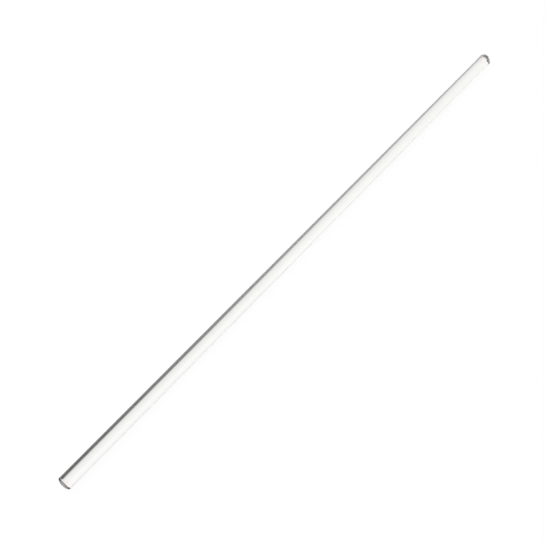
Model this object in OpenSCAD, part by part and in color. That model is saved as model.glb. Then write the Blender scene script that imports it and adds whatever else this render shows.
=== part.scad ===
// Glass stirring rod: one solid length of drawn glass with both ends fire-polished.
// Its axis runs along X, and the origin is on the axis, midway between the two tips.

/* [Rod] */
// Overall length, from tip to tip
rod_length = 300; // [100:1:500]
// Diameter of the straight shank
rod_diameter = 6; // [4:0.5:12]

/* [Fire-polished ends] */
// How far each melted end domes out past the straight shank
dome_height = 1.1; // [0.5:0.05:2]

/* [Looks] */
// Colour of the clear glass: red, green, blue and how solid it looks
glass_colour = [0.90, 0.94, 0.93, 0.45]; // [0:0.01:1]

/* [Hidden] */
$fn = 96;

shank_radius = rod_diameter / 2;
shank_length = rod_length - 2 * dome_height;
// Side of the square that keeps one quarter of an ellipse, well clear of its curve
quarter_side = rod_diameter + dome_height;

// Half of one dome's outline, from the end of the shank: X is the radius, Y runs to the tip.
// Melted glass pulls itself round, so the dome is half an ellipse that leaves the shank with no corner.
module dome_outline() {
    intersection() {
        scale([1, dome_height / shank_radius])
            circle(r = shank_radius);
        square(quarter_side);
    }
}

// Half of the whole rod's outline: X is the radius, Y runs along the rod
module rod_outline() {
    translate([0, -shank_length / 2])
        square([shank_radius, shank_length]);
    for (flip = [0, 1])
        mirror([0, flip])
            translate([0, shank_length / 2])
                dome_outline();
}

module rod() {
    color(glass_colour)
        rotate([0, 90, 0])
            rotate_extrude()
                rod_outline();
}

rod();
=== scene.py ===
"""The looks of a glass stirring rod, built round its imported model: the rod, its studio and its camera."""

import math

import bpy
from bpy.props import FloatProperty, FloatVectorProperty, IntProperty, PointerProperty
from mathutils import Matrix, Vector


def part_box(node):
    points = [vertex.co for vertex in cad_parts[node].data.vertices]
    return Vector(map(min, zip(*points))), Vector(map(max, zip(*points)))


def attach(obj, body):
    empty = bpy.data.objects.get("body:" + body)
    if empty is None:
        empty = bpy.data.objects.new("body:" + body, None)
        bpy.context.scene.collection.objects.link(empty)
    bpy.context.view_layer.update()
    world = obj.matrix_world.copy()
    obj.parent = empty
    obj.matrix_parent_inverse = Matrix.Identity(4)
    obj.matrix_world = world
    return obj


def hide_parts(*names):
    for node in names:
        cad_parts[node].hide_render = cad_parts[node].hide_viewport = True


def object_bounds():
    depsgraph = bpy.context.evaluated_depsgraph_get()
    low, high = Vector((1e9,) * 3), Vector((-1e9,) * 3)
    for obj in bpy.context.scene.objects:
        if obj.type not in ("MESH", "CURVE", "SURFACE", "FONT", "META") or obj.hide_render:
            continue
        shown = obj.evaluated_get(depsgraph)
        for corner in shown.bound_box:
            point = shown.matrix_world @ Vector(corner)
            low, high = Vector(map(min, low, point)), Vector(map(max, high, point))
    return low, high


bl_info = {
    "name": "Glass Stirring Rod",
    "version": (1, 0, 0),
    "blender": (4, 5, 0),
    "location": "View3D > Sidebar > Stirring Rod",
    "description": "Draws a clear glass stirring rod with fire-polished ends, in a white studio",
    "category": "Object",
}

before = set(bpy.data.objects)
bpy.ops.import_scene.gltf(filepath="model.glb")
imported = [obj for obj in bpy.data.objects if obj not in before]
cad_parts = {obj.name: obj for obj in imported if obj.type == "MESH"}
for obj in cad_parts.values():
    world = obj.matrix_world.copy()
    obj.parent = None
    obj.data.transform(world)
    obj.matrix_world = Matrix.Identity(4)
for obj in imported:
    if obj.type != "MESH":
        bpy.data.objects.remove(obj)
cad_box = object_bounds()
rod_low, rod_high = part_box("rod")

ORIGIN = (0, 0, 0)
QUARTER_TURN = math.pi / 2
FULL_TURN = 2 * math.pi
WHITE = (1, 1, 1, 1)
BLACK = (0, 0, 0, 1)

# Points closer together than this are taken as one
MERGE_DISTANCE = 1e-6


def radians(*degrees):
    """Angles given in degrees, in radians."""
    return tuple(math.radians(angle) for angle in degrees)


class RodSettings(bpy.types.PropertyGroup):
    """Sizes and finish of the glass rod."""

    length: FloatProperty(
        name="Length",
        description="Overall length of the rod, from tip to tip",
        default=rod_high.x - rod_low.x,
        unit="LENGTH",
    )
    diameter: FloatProperty(
        name="Diameter",
        description="Diameter of the straight shank",
        default=rod_high.z - rod_low.z,
        unit="LENGTH",
    )
    dome_height: FloatProperty(
        name="Dome Height",
        description="How far each fire-polished end domes out past the shank",
        default=0.0011,
        unit="LENGTH",
    )
    sides: IntProperty(
        name="Sides",
        description="Faces round the rod",
        default=128,
        min=16,
    )
    dome_rings: IntProperty(
        name="Dome Rings",
        description="Rings of faces on each domed end",
        default=48,
        min=8,
    )
    shank_rings: IntProperty(
        name="Shank Rings",
        description="Rings of faces on each half of the shank",
        default=32,
        min=1,
    )
    clear_tint: FloatVectorProperty(
        name="Clear Tint",
        description="Colour of the glass where it is cleanest",
        default=(0.995, 0.995, 0.975),
        subtype="COLOR",
        min=0,
        max=1,
    )
    smoky_tint: FloatVectorProperty(
        name="Smoky Tint",
        description="Colour of the glass along its faint drawn streaks",
        default=(0.965, 0.965, 0.940),
        subtype="COLOR",
        min=0,
        max=1,
    )
    depth_tint: FloatVectorProperty(
        name="Depth Tint",
        description="Colour that light takes on over a long way through the glass",
        default=(0.55, 0.60, 0.53),
        subtype="COLOR",
        min=0,
        max=1,
    )
    depth_density: FloatProperty(
        name="Depth Density",
        description="How strongly a metre of glass takes light away",
        default=6.0,
        min=0,
    )
    # Painted light: a rosy colour fringe painted near each tip, standing in for light split into colours
    painted_fringe_tint: FloatVectorProperty(
        name="End Tint",
        description="Faint rosy tint that the polished ends take from splitting the light",
        default=(1.0, 0.90, 0.915),
        subtype="COLOR",
        min=0,
        max=1,
    )
    # How far the painted rosy fringe reaches from each tip
    painted_fringe_reach: FloatProperty(
        name="End Reach",
        description="How far from each tip the rosy tint fades out",
        default=0.004,
        unit="LENGTH",
    )
    # Painted shade: the glass's colour is darkened towards black where it is seen edge on, standing in for
    # its dark edges
    painted_rim_shade: FloatProperty(
        name="Rim Shade",
        description="How much darker the glass is where it is seen edge on",
        default=0.5,
        subtype="FACTOR",
        min=0,
        max=1,
    )
    refraction: FloatProperty(
        name="Refractive Index",
        description="Refractive index of borosilicate glass",
        default=1.474,
        min=1,
    )


class StageSettings(bpy.types.PropertyGroup):
    """The white studio round the rod, and the camera."""

    floor_size: FloatProperty(
        name="Floor Size",
        description="Side of the square white floor",
        default=6.0,
        unit="LENGTH",
    )
    shadow_share: FloatProperty(
        name="Shadow Share",
        description="Share of the floor's look that comes from the light on it, and so shows shadow",
        default=0.04,
        subtype="FACTOR",
        min=0,
        max=1,
    )
    fill_level: FloatProperty(
        name="Fill Level",
        description="Strength of the even light from all round",
        default=0.55,
        min=0,
    )
    key_level: FloatProperty(
        name="Key Level",
        description="Strength of the wide soft lamp overhead",
        default=1.6,
        min=0,
    )
    light_bounces: IntProperty(
        name="Light Bounces",
        description="How often light may bounce, so that it can travel the rod's whole length inside it",
        default=100,
        min=1,
    )
    key_spread: FloatProperty(
        name="Key Spread",
        description="Angle that the wide soft lamp covers",
        default=math.radians(60),
        subtype="ANGLE",
    )
    camera_azimuth: FloatProperty(
        name="Camera Azimuth",
        description="Direction of the camera round the rod, from the front",
        default=math.radians(-51.6406),
        subtype="ANGLE",
    )
    camera_elevation: FloatProperty(
        name="Camera Elevation",
        description="Height of the camera above the horizon",
        default=math.radians(52.9222),
        subtype="ANGLE",
    )
    camera_distance: FloatProperty(
        name="Camera Distance",
        description="Distance from the camera to the point it looks at",
        default=0.5036777,
        unit="LENGTH",
    )
    camera_aim: FloatVectorProperty(
        name="Camera Aim",
        description="Point that the camera looks at",
        default=(-0.0215250, 0.0001132, 0.0),
        subtype="XYZ",
        unit="LENGTH",
    )
    camera_lens: FloatProperty(
        name="Camera Lens",
        description="Focal length in millimetres on a sensor 36 mm wide",
        default=77.148,
        unit="CAMERA",
    )


# Modelling


def select_points(piece, wanted):
    """In edit mode, selects the points that the test picks by their place, and no others."""
    bpy.ops.object.mode_set(mode="OBJECT")
    for point in piece.data.vertices:
        point.select = wanted(point.co)
    for edge in piece.data.edges:
        edge.select = False
    bpy.ops.object.mode_set(mode="EDIT")


def model_rod(settings):
    """Half the rod's outline, turned about its axis and mirrored to the other end."""
    radius = settings.diameter / 2
    shank_half = settings.length / 2 - settings.dome_height

    # A circle on edge, with a dome's rings in each of its four quarters
    bpy.ops.object.select_all(action="DESELECT")
    bpy.ops.mesh.primitive_circle_add(
        vertices=4 * settings.dome_rings,
        radius=radius,
        fill_type="NOTHING",
        rotation=(QUARTER_TURN, 0, 0),
    )
    rod = bpy.context.object
    rod.name = "glass_rod"
    rod.data.name = "glass_rod"
    bpy.ops.object.transform_apply(location=True, rotation=True, scale=True)
    bpy.ops.object.mode_set(mode="EDIT")
    bpy.ops.mesh.select_mode(type="VERT")

    # One quarter of it, flattened into the dome's outline and moved to the shank's end
    select_points(rod, lambda place: min(place.x, place.z) < -MERGE_DISTANCE)
    bpy.ops.mesh.delete(type="VERT")
    bpy.ops.mesh.select_all(action="SELECT")
    bpy.ops.transform.resize(
        value=(settings.dome_height / radius, 1, 1), center_override=ORIGIN
    )
    bpy.ops.transform.translate(value=(shank_half, 0, 0))

    # The shank's outline, from the dome back to the middle of the rod
    select_points(rod, lambda place: place.x < shank_half + MERGE_DISTANCE)
    bpy.ops.mesh.extrude_region_move(
        TRANSFORM_OT_translate={"value": (-shank_half, 0, 0)}
    )
    bpy.ops.object.mode_set(mode="OBJECT")
    for edge in rod.data.edges:
        ends = [rod.data.vertices[i].co.x for i in edge.vertices]
        edge.select = min(ends) < MERGE_DISTANCE
    bpy.ops.object.mode_set(mode="EDIT")
    bpy.ops.mesh.select_mode(type="EDGE")
    bpy.ops.mesh.subdivide(number_cuts=settings.shank_rings - 1)
    bpy.ops.object.mode_set(mode="OBJECT")

    # The outline turned about the rod's axis, by a modifier that gives the same mesh each run
    lathe = rod.modifiers.new("lathe", "SCREW")
    lathe.axis = "X"
    lathe.angle = FULL_TURN
    lathe.steps = settings.sides
    lathe.render_steps = settings.sides
    lathe.use_merge_vertices = True
    lathe.merge_threshold = MERGE_DISTANCE
    bpy.ops.object.modifier_apply(modifier=lathe.name)

    # The half rod mirrored to the other end
    mirror = rod.modifiers.new("other_end", "MIRROR")
    mirror.use_axis = (True, False, False)
    mirror.use_mirror_merge = True
    mirror.merge_threshold = MERGE_DISTANCE
    bpy.ops.object.modifier_apply(modifier=mirror.name)

    bpy.ops.object.mode_set(mode="EDIT")
    bpy.ops.mesh.select_all(action="SELECT")
    bpy.ops.mesh.normals_make_consistent(inside=False)
    bpy.ops.object.mode_set(mode="OBJECT")
    bpy.ops.object.shade_smooth()
    return rod


# Materials and nodes

# Finish of the drawn glass. A scale is in waves for each metre, and a pair named _EDGE is where a soft
# edge starts and ends.
STREAK_SCALE = (6.0, 900.0, 900.0)
STREAK_DETAIL = 3.0
STREAK_EDGE = (0.5, 0.8)
SMEAR_SCALE = 120.0
SMEAR_DETAIL = 4.0
SMEAR_EDGE = (0.4, 0.9)
SMEAR_ROUGHNESS = 0.03
RIPPLE_STRENGTH = 0.15
RIPPLE_DEPTH = 0.00001
# Where the painted shade on the glass's rim starts and ends, by how edge on the glass is seen
PAINTED_RIM_EDGE = (0.67, 1.0)


class Nodes:
    """Adds linked nodes to a material's or a world's node tree, one for each call."""

    # A Mix node has two inputs and an output of its own for each type of value
    MIX_SOCKETS = {"FLOAT": (2, 3, 0), "RGBA": (6, 7, 2)}

    def __init__(self, owner):
        owner.use_nodes = True
        self.tree = owner.node_tree
        self.tree.nodes.clear()

    def add(self, kind, sockets=(), **settings):
        """A node of that kind, with its settings, and its inputs set or linked."""
        node = self.tree.nodes.new(kind)
        for name, value in settings.items():
            setattr(node, name, value)
        for socket, value in dict(sockets).items():
            if isinstance(value, bpy.types.NodeSocket):
                self.tree.links.new(value, node.inputs[socket])
            else:
                node.inputs[socket].default_value = value
        return node

    def maths(self, operation, first, second=0.0):
        """The result of one sum."""
        return self.add("ShaderNodeMath", {0: first, 1: second}, operation=operation).outputs[0]

    def both(self, first, second):
        """The share that lies in both of two areas."""
        return self.maths("MULTIPLY", first, second)

    def along(self, direction, axis):
        """How far a direction points along an axis."""
        return self.add(
            "ShaderNodeVectorMath", {0: direction, 1: axis}, operation="DOT_PRODUCT"
        ).outputs["Value"]

    def rise(self, value, edge, low=0.0, high=1.0):
        """A smooth step from low to high, as the value goes from the start of an edge to its end."""
        start, end = edge
        return self.add(
            "ShaderNodeMapRange",
            {"Value": value, "From Min": start, "From Max": end, "To Min": low, "To Max": high},
            interpolation_type="SMOOTHSTEP",
        ).outputs["Result"]

    def fall(self, value, edge):
        """A smooth step from 1 down to 0."""
        return self.rise(value, edge, 1.0, 0.0)

    def blend(self, share, first, second, data_type="FLOAT"):
        """Goes from the first value to the second as the share goes from 0 to 1."""
        first_socket, second_socket, result = self.MIX_SOCKETS[data_type]
        return self.add(
            "ShaderNodeMix",
            {"Factor": share, first_socket: first, second_socket: second},
            data_type=data_type,
        ).outputs[result]

    def blend_colours(self, share, first, second):
        """The same for two colours."""
        return self.blend(share, first, second, "RGBA")

    def blend_shaders(self, share, first, second):
        """The same for two shaders."""
        return self.add("ShaderNodeMixShader", {0: share, 1: first, 2: second}).outputs[0]

    def by_viewer(self, to_camera, in_glass, elsewhere):
        """One shader for the camera, one for what the glass sees, and one for all other light."""
        rays = self.add("ShaderNodeLightPath").outputs
        from_glass = self.maths("MAXIMUM", rays["Is Glossy Ray"], rays["Is Transmission Ray"])
        unseen = self.blend_shaders(from_glass, elsewhere, in_glass)
        return self.blend_shaders(rays["Is Camera Ray"], unseen, to_camera)


def clear_glass(settings):
    """Clear drawn glass, with faint streaks and ripples, and a tint that shows only in its depth. Its
    colour also holds a painted rosy fringe at the tips and painted shade on the rim where it is seen edge
    on.
    """
    material = bpy.data.materials.new("clear_glass")
    nodes = Nodes(material)
    place = nodes.add("ShaderNodeTexCoord").outputs["Object"]
    drawn_out = nodes.add("ShaderNodeMapping", {"Vector": place, "Scale": STREAK_SCALE}).outputs[0]
    streaks = nodes.add(
        "ShaderNodeTexNoise", {"Vector": drawn_out, "Scale": 1.0, "Detail": STREAK_DETAIL}
    ).outputs[0]
    smears = nodes.add(
        "ShaderNodeTexNoise", {"Vector": place, "Scale": SMEAR_SCALE, "Detail": SMEAR_DETAIL}
    ).outputs[0]
    ripple = nodes.add(
        "ShaderNodeBump", {"Height": streaks, "Strength": RIPPLE_STRENGTH, "Distance": RIPPLE_DEPTH}
    ).outputs[0]

    # Streaks along the body, then a painted rosy fringe at the ends that stands in for light split into
    # colours, then painted shade that darkens the rim where the glass is seen edge on
    tint = nodes.blend_colours(
        nodes.rise(streaks, STREAK_EDGE), (*settings.clear_tint, 1), (*settings.smoky_tint, 1)
    )
    # Painted light: a rosy fringe painted into the colour near each tip
    tip = settings.length / 2
    from_middle = nodes.maths("ABSOLUTE", nodes.along(place, (1, 0, 0)))
    painted_fringe = nodes.rise(from_middle, (tip - settings.painted_fringe_reach, tip))
    tint = nodes.blend_colours(painted_fringe, tint, (*settings.painted_fringe_tint, 1))
    # Painted shade: the colour darkens where the glass is seen edge on
    edge_on = nodes.add("ShaderNodeLayerWeight").outputs["Facing"]
    painted_rim = nodes.rise(edge_on, PAINTED_RIM_EDGE, 0.0, settings.painted_rim_shade)
    tint = nodes.blend_colours(painted_rim, tint, BLACK)

    glass = nodes.add(
        "ShaderNodeBsdfPrincipled",
        {
            "Base Color": tint,
            "Roughness": nodes.rise(smears, SMEAR_EDGE, 0.0, SMEAR_ROUGHNESS),
            "IOR": settings.refraction,
            "Transmission Weight": 1.0,
            "Normal": ripple,
        },
    ).outputs[0]
    depth = nodes.add(
        "ShaderNodeVolumeAbsorption",
        {"Color": (*settings.depth_tint, 1), "Density": settings.depth_density},
    ).outputs[0]
    nodes.add("ShaderNodeOutputMaterial", {"Surface": glass, "Volume": depth})
    return material


def white_floor(settings):
    """Paper that stays white to the camera and keeps a faint shadow, and that the glass sees through."""
    material = bpy.data.materials.new("white_floor")
    nodes = Nodes(material)
    paper = nodes.add("ShaderNodeBsdfDiffuse", {"Color": WHITE}).outputs[0]
    glow = nodes.add("ShaderNodeEmission", {"Color": WHITE, "Strength": 1.0}).outputs[0]
    clear = nodes.add("ShaderNodeBsdfTransparent").outputs[0]
    shaded = nodes.blend_shaders(settings.shadow_share, glow, paper)
    seen = nodes.by_viewer(to_camera=shaded, in_glass=clear, elsewhere=paper)
    nodes.add("ShaderNodeOutputMaterial", {"Surface": seen})
    return material


# Studio

# The glass sees the studio by direction. A direction's x runs along the rod, its y to the back and its z
# up. Its turn is the angle about the rod, 0 straight down and a quarter turn at the back horizon, and its
# height is the angle above the horizon. A pair named _X, _TURN, _HEIGHT or _EDGE is where a soft edge
# starts and ends, and a pair of levels or bends goes with it. A level is a brightness, where 1 is white.
RIGHT_HALF_X = (0.216, 0.236)
HORIZON_EDGE = (-0.05, 0.05)
BACK_HALF_EDGE = (-0.05, 0.15)

# The white sweep under and behind the rod
SWEEP_LEVEL_LEFT = 0.95
SWEEP_EDGE = (0.0, 0.45)
SWEEP_LEVELS_RIGHT = (0.885, 1.02)

# The dark card in front, whose edge slants away from the rod and bends to the right, and the window in it
CARD_SLANT = (0, 1, 0.274)
CARD_BEND_X = (0.338, 1.11)
CARD_BEND = (0.123, 0.553)
CARD_EDGE = (-0.245, 0.006)
CARD_FADE_X = (0.18, 0.68)
CARD_LEVELS = (0.048, 0.360)
WINDOW_X = (0.44, 0.50)
WINDOW_TURN = radians(-52, -44)
WINDOW_LEVEL = 0.97

# The twin dark strips on the floor, either side of the rod
STRIPS_LEFT_X = (-0.45, -0.38)
STRIPS_RIGHT_X = (0.214, 0.234)
STRIPS_INNER_TURN = radians(34, 40)
STRIPS_OUTER_TURN = radians(50, 56)
STRIPS_LEVEL = 0.05

# The dark cards past the right end and the left end. The left one has a near part below the rod, and a far
# part that goes round the back.
RIGHT_CARD_X = (0.765, 0.785)
RIGHT_CARD_TURN = radians(-46, -38)
RIGHT_CARD_LEVEL = 0.30
LEFT_CARD_NEAR_X = (-0.54, -0.46)
LEFT_CARD_NEAR_TURN = radians(28, 38)
LEFT_CARD_FAR_X = (-0.79, -0.75)
LEFT_CARD_FAR_TURN = radians(-45, -35)
LEFT_CARD_LEVEL = 0.12

# The walls and the ceiling's strip light. A pair named _LEFT_RIGHT holds the value in the left half of the
# studio and the value in its right half.
BACK_WALL_STARTS_LEFT_RIGHT = radians(20, 4.2)
BACK_WALL_ENDS_LEFT_RIGHT = radians(40, 70.6)
BACK_WALL_LEVELS_LEFT_RIGHT = (0.97, 1.5)
BACK_CEILING_LEVEL = 0.03
FRONT_WALL_HEIGHT = radians(28, 45)
FRONT_WALL_LEVELS = (0.5, 0.02)
STRIP_LIGHT_TURN = radians(160, 168)
STRIP_LIGHT_LEVELS_LEFT_RIGHT = (2.0, 0.576)

# The white openings straight past both tips
OPENING_X = (0.955, 0.975)
OPENING_LEVEL = 0.9


class StudioNodes(Nodes):
    """A world's nodes, with the direction of each ray measured as the studio's cards are set."""

    def __init__(self, world):
        super().__init__(world)
        self.direction = self.add("ShaderNodeTexCoord").outputs["Generated"]
        self.x = self.along(self.direction, (1, 0, 0))
        self.y = self.along(self.direction, (0, 1, 0))
        self.z = self.along(self.direction, (0, 0, 1))
        self.height = self.maths("ARCSINE", self.z)
        self.turn = self.maths("ARCTAN2", self.y, self.maths("MULTIPLY", self.z, -1.0))
        self.from_below = self.maths("ABSOLUTE", self.turn)
        self.to_right = self.rise(self.x, RIGHT_HALF_X)

    def background(self, colour, strength=1.0):
        """Light of one colour and strength from the world."""
        return self.add("ShaderNodeBackground", {"Color": colour, "Strength": strength}).outputs[0]


def sweep_and_front_card(nodes):
    """The level of the white sweep, with the dark front card on it and the window in that."""
    past_edge = nodes.maths(
        "ADD",
        nodes.along(nodes.direction, CARD_SLANT),
        nodes.rise(nodes.x, CARD_BEND_X, *CARD_BEND),
    )
    sweep_right = nodes.rise(past_edge, SWEEP_EDGE, *SWEEP_LEVELS_RIGHT)
    sweep = nodes.blend(nodes.to_right, SWEEP_LEVEL_LEFT, sweep_right)
    card = nodes.both(nodes.to_right, nodes.fall(past_edge, CARD_EDGE))
    card_level = nodes.rise(nodes.x, CARD_FADE_X, *CARD_LEVELS)
    window = nodes.both(nodes.rise(nodes.x, WINDOW_X), nodes.fall(nodes.turn, WINDOW_TURN))
    return nodes.blend(window, nodes.blend(card, sweep, card_level), WINDOW_LEVEL)


def floor_strips(nodes):
    """Where the twin dark strips lie."""
    along_rod = nodes.both(nodes.fall(nodes.x, STRIPS_RIGHT_X), nodes.rise(nodes.x, STRIPS_LEFT_X))
    beside_rod = nodes.both(
        nodes.rise(nodes.from_below, STRIPS_INNER_TURN),
        nodes.fall(nodes.from_below, STRIPS_OUTER_TURN),
    )
    return nodes.both(along_rod, beside_rod)


def right_card(nodes):
    """Where the dark card past the right end stands."""
    return nodes.both(nodes.rise(nodes.x, RIGHT_CARD_X), nodes.rise(nodes.turn, RIGHT_CARD_TURN))


def left_card(nodes):
    """Where the two parts of the dark card past the left end stand."""
    near = nodes.both(
        nodes.fall(nodes.x, LEFT_CARD_NEAR_X), nodes.fall(nodes.from_below, LEFT_CARD_NEAR_TURN)
    )
    far = nodes.both(nodes.fall(nodes.x, LEFT_CARD_FAR_X), nodes.rise(nodes.turn, LEFT_CARD_FAR_TURN))
    return nodes.maths("MAXIMUM", near, far)


def walls_and_ceiling(nodes):
    """The level of the walls, which darken into the ceiling, and of the strip light along the rod."""
    back_height = (
        nodes.blend(nodes.to_right, *BACK_WALL_STARTS_LEFT_RIGHT),
        nodes.blend(nodes.to_right, *BACK_WALL_ENDS_LEFT_RIGHT),
    )
    back_level = nodes.blend(nodes.to_right, *BACK_WALL_LEVELS_LEFT_RIGHT)
    back = nodes.blend(nodes.rise(nodes.height, back_height), back_level, BACK_CEILING_LEVEL)
    front = nodes.rise(nodes.height, FRONT_WALL_HEIGHT, *FRONT_WALL_LEVELS)
    walls = nodes.blend(nodes.rise(nodes.y, BACK_HALF_EDGE), front, back)
    strip_light = nodes.rise(nodes.from_below, STRIP_LIGHT_TURN)
    strip_level = nodes.blend(nodes.to_right, *STRIP_LIGHT_LEVELS_LEFT_RIGHT)
    return nodes.blend(strip_light, walls, strip_level)


def studio_world(settings):
    """White to the camera, an even fill for the light, and a studio with dark cards for the glass."""
    world = bpy.data.worlds.new("studio")
    nodes = StudioNodes(world)
    low = sweep_and_front_card(nodes)
    cards = (
        (floor_strips(nodes), STRIPS_LEVEL),
        (right_card(nodes), RIGHT_CARD_LEVEL),
        (left_card(nodes), LEFT_CARD_LEVEL),
    )
    for card, card_level in cards:
        low = nodes.blend(card, low, card_level)
    level = nodes.blend(nodes.rise(nodes.z, HORIZON_EDGE), low, walls_and_ceiling(nodes))
    openings = nodes.rise(nodes.maths("ABSOLUTE", nodes.x), OPENING_X)
    level = nodes.blend(openings, level, OPENING_LEVEL)
    seen = nodes.by_viewer(
        to_camera=nodes.background(WHITE),
        in_glass=nodes.background(level),
        elsewhere=nodes.background(WHITE, settings.fill_level),
    )
    nodes.add("ShaderNodeOutputWorld", {"Surface": seen})
    return world


# Stage

KEY_TILT = radians(-20, -15, 0)
NEAREST_SEEN = 0.001


def lay_floor(settings):
    """The white floor, at the height of the rod's underside."""
    bpy.ops.mesh.primitive_plane_add(size=settings.floor_size, location=(0, 0, cad_box[0].z))
    floor = bpy.context.object
    floor.name = "floor"
    floor.data.materials.append(white_floor(settings))


def hang_key(settings):
    """The wide soft lamp overhead, which doesn't show in the glass."""
    bpy.ops.object.light_add(type="SUN", rotation=KEY_TILT)
    key = bpy.context.object
    key.name = "soft_key"
    key.data.energy = settings.key_level
    key.data.angle = settings.key_spread
    key.visible_glossy = False
    key.visible_transmission = False


def place_camera(settings):
    """The camera, set back from the point it looks at."""
    azimuth, elevation = settings.camera_azimuth, settings.camera_elevation
    back = Vector(
        (
            math.sin(azimuth) * math.cos(elevation),
            -math.cos(azimuth) * math.cos(elevation),
            math.sin(elevation),
        )
    )
    bpy.ops.object.camera_add(
        location=Vector(settings.camera_aim) + back * settings.camera_distance,
        rotation=(QUARTER_TURN - elevation, 0, azimuth),
    )
    camera = bpy.context.object
    camera.name = "camera"
    camera.data.lens = settings.camera_lens
    camera.data.clip_start = NEAREST_SEEN
    return camera


# Operators


class STIRRING_ROD_OT_rod(bpy.types.Operator):
    """Draws the glass rod with its two fire-polished ends"""

    bl_idname = "stirring_rod.rod"
    bl_label = "Glass Rod"

    def execute(self, context):
        settings = context.scene.stirring_rod
        rod = model_rod(settings)
        rod.data.materials.clear()
        rod.data.materials.append(clear_glass(settings))
        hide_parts("rod")
        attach(rod, "root")
        return {"FINISHED"}


class STIRRING_ROD_OT_stage(bpy.types.Operator):
    """Lays the white floor and sets up the soft light, the studio surroundings and the camera"""

    bl_idname = "stirring_rod.stage"
    bl_label = "White Studio"

    def execute(self, context):
        scene = context.scene
        settings = scene.stirring_stage
        bpy.ops.object.select_all(action="DESELECT")
        lay_floor(settings)
        scene.world = studio_world(settings)
        hang_key(settings)
        scene.camera = place_camera(settings)
        scene.cycles.max_bounces = settings.light_bounces
        scene.cycles.glossy_bounces = settings.light_bounces
        scene.cycles.transmission_bounces = settings.light_bounces

        # Inside clear glass the denoiser's surface passes are noise, so it works from the image alone
        scene.cycles.denoising_input_passes = "RGB"
        scene.view_settings.view_transform = "Standard"
        return {"FINISHED"}


class STIRRING_ROD_PT_panel(bpy.types.Panel):
    """The sizes, the finish and the studio of the stirring rod"""

    bl_idname = "STIRRING_ROD_PT_panel"
    bl_label = "Stirring Rod"
    bl_space_type = "VIEW_3D"
    bl_region_type = "UI"
    bl_category = "Stirring Rod"

    def draw(self, context):
        parts = (
            (context.scene.stirring_rod, STIRRING_ROD_OT_rod),
            (context.scene.stirring_stage, STIRRING_ROD_OT_stage),
        )
        for settings, operator in parts:
            box = self.layout.box()
            box.operator(operator.bl_idname)
            for name in settings.__annotations__:
                box.prop(settings, name)


CLASSES = (
    RodSettings,
    StageSettings,
    STIRRING_ROD_OT_rod,
    STIRRING_ROD_OT_stage,
    STIRRING_ROD_PT_panel,
)


def register():
    for cls in CLASSES:
        bpy.utils.register_class(cls)
    bpy.types.Scene.stirring_rod = PointerProperty(type=RodSettings)
    bpy.types.Scene.stirring_stage = PointerProperty(type=StageSettings)


def unregister():
    del bpy.types.Scene.stirring_stage
    del bpy.types.Scene.stirring_rod
    for cls in reversed(CLASSES):
        bpy.utils.unregister_class(cls)


def main():
    """Registers the add-on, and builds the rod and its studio."""
    register()
    bpy.ops.stirring_rod.rod()
    bpy.ops.stirring_rod.stage()


if __name__ == "__main__":
    main()
